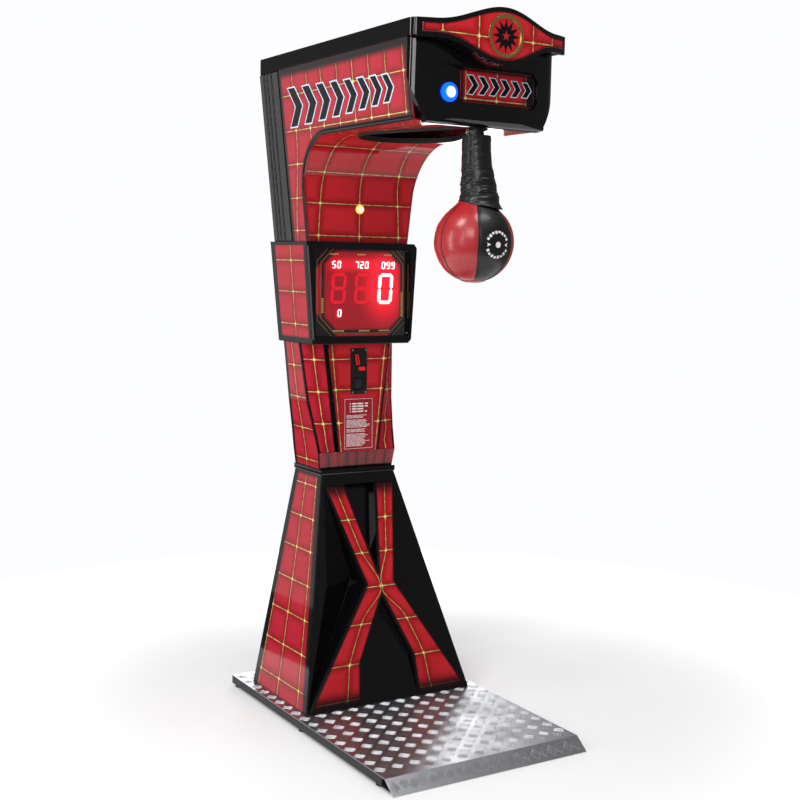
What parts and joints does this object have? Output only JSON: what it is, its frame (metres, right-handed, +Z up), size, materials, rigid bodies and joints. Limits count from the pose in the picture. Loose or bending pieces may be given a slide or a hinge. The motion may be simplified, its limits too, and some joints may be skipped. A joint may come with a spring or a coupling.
{
  "type": "boxing punch machine",
  "caption": "Free-standing arcade strength tester: a punch ball on a swinging arm under a curved head, with score display, coin plate and chequer-plate standing platform.",
  "frame": {"origin": "middle of the footprint's box on the floor, under the rubber feet", "axes": "+Z up, the player stands on the -Y side and faces +Y, +X to the player's right"},
  "size_m": [0.68, 1.07, 2.143],
  "materials": {
    "rubber": "matt moulded",
    "black_steel": "satin powder coat",
    "tread_aluminium": "mill finish chequer plate",
    "red_panel": "printed gloss panel",
    "black_panel": "satin paint",
    "black_gloss": "polished gel coat",
    "red_gloss": "printed gloss panel",
    "zinc_steel": "zinc plated",
    "chrome": "polished",
    "black_plastic": "fine texture",
    "red_plastic": "moulded",
    "clear_cover": "clear domed cover",
    "red_led": "lit red segments",
    "circuit_board": "solder mask",
    "cast_grey": "painted casting",
    "lamp_lens": "warm lit lens",
    "blue_lens": "lit blue lens",
    "gold_plastic": "gold finish",
    "ball_leather": "stitched leather, red and black gores",
    "black_leather": "soft gathered leather"
  },
  "bodies": {
    "body": {"rubber_feet": "rubber", "base_side_rails": "black_steel", "base_cross_rails": "black_steel", "base_nose_rail": "black_steel", "tread_plate": "tread_aluminium", "cabinet_sides": "red_panel", "cabinet_rear": "black_panel", "front_moulding": "black_gloss", "cross_strips": "red_gloss", "waist_flange": "black_gloss", "frame_hinge_leaves": "zinc_steel", "door_hinge_pins": "zinc_steel", "cash_box": "zinc_steel", "power_supply": "zinc_steel", "power_inlet": "black_plastic", "mid_shell": "red_panel", "tongue_panel": "red_gloss", "coin_plate": "black_steel", "coin_screws": "zinc_steel", "coin_entry": "red_plastic", "reject_spring": "zinc_steel", "coin_validator": "black_plastic", "return_cup": "black_plastic", "rules_plate": "red_gloss", "display_housing": "red_panel", "display_bezel": "black_gloss", "display_window": "clear_cover", "score_panel": "black_plastic", "score_modules": "red_led", "control_board": "circuit_board", "mast_posts": "black_steel", "head_beams": "black_steel", "bearing_housings": "cast_grey", "head_sides": "red_panel", "rear_mouldings": "black_gloss", "head_rear_panel": "black_panel", "head_liner": "red_gloss", "opening_trim": "rubber", "column_lamp": "lamp_lens", "head_front": "black_gloss", "marquee_panel": "red_gloss", "start_bezel": "blue_lens", "start_spring": "zinc_steel", "lid": "black_gloss", "crown": "black_gloss", "crown_panel": "red_gloss", "emblem": "gold_plastic", "latch_unit": "black_steel", "angle_sensor": "black_plastic"},
    "door": {"service_door": "black_panel", "door_hinge_leaves": "zinc_steel", "lock_barrel": "chrome"},
    "lock": {"lock_cam": "zinc_steel"},
    "reject": {"reject_button": "red_plastic"},
    "flap": {"return_flap": "black_plastic"},
    "start": {"start_button": "blue_lens"},
    "hook": {"latch_hook": "zinc_steel"},
    "swing": {"swing_arm": "zinc_steel", "punch_ball": "ball_leather", "ball_sleeve": "black_leather"}
  },
  "joints": [
    {"name": "arm_swing", "type": "hinge", "parent": "body", "child": "swing", "pos_m": [0, -0.364, 1.915], "axis": [1, 0, 0], "range_deg": [0, 90]},
    {"name": "start_press", "type": "slide", "parent": "body", "child": "start", "axis": [0, 1, 0], "range_m": [0, 0.004], "stiffness_N_per_m": 600, "springref_m": -0.002, "deforming": ["start_spring"]},
    {"name": "reject_press", "type": "slide", "parent": "body", "child": "reject", "axis": [0, 0.9998, -0.0221], "range_m": [0, 0.004], "stiffness_N_per_m": 500, "springref_m": -0.002, "deforming": ["reject_spring"]},
    {"name": "return_flap_swing", "type": "hinge", "parent": "body", "child": "flap", "pos_m": [0, 0.28478, 1.06286], "axis": [1, 0, 0], "range_deg": [0, 75]},
    {"name": "service_door_swing", "type": "hinge", "parent": "body", "child": "door", "pos_m": [-0.106, 0.45044, 0.3713], "axis": [0, 0.0491, 0.9988], "range_deg": [0, 110]},
    {"name": "lock_turn", "type": "hinge", "parent": "door", "child": "lock", "pos_m": [0.08, 0.44445, 0.3716], "axis": [0, 0.9988, -0.0491], "range_deg": [0, 90]},
    {"name": "latch_turn", "type": "hinge", "parent": "body", "child": "hook", "pos_m": [0.034, -0.29, 1.946], "axis": [0, 1, 0], "range_deg": [0, 35]}
  ]
}
